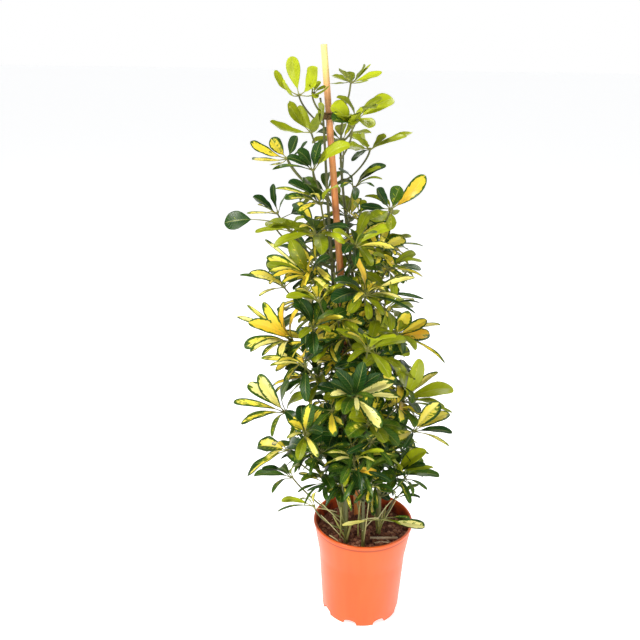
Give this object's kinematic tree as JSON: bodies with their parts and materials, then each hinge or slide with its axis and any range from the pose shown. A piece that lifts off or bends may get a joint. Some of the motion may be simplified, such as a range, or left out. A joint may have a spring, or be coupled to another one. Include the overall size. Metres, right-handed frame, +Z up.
{
  "type": "potted umbrella plant",
  "caption": "Tall variegated umbrella plant, its leafy stems tied to a stake and growing in soil in a round plastic nursery pot.",
  "frame": {"origin": "middle of the pot's underside, on the floor", "axes": "+Z up; -Y towards the viewer of the picture; +X to the viewer's right"},
  "size_m": [0.4546, 0.4117, 1.2006],
  "materials": {
    "pot": "orange injection-moulded plastic with a soft sheen, darker red-brown inside",
    "soil": "dark peaty potting soil with bark crumbs, matte",
    "stake": "orange-brown peeled stick, satin, pale at the tip",
    "tie": "brown raffia tie, matte",
    "dry_stalk": "dry leafstalk, matte light brown",
    "foliage": "glossy living leaves, dark green splashed with lime, yellow and cream, on olive green stems"
  },
  "bodies": {
    "root": {"pot": "pot", "soil": "soil", "stake": "stake", "tie_lower": "tie", "tie_upper": "tie", "dry_stalk": "dry_stalk", "leafy_stem_left": "foliage", "leafy_stem_back": "foliage", "leafy_stem_front_left": "foliage", "leafy_stem_front": "foliage", "leafy_stem_right": "foliage"}
  },
  "joints": []
}
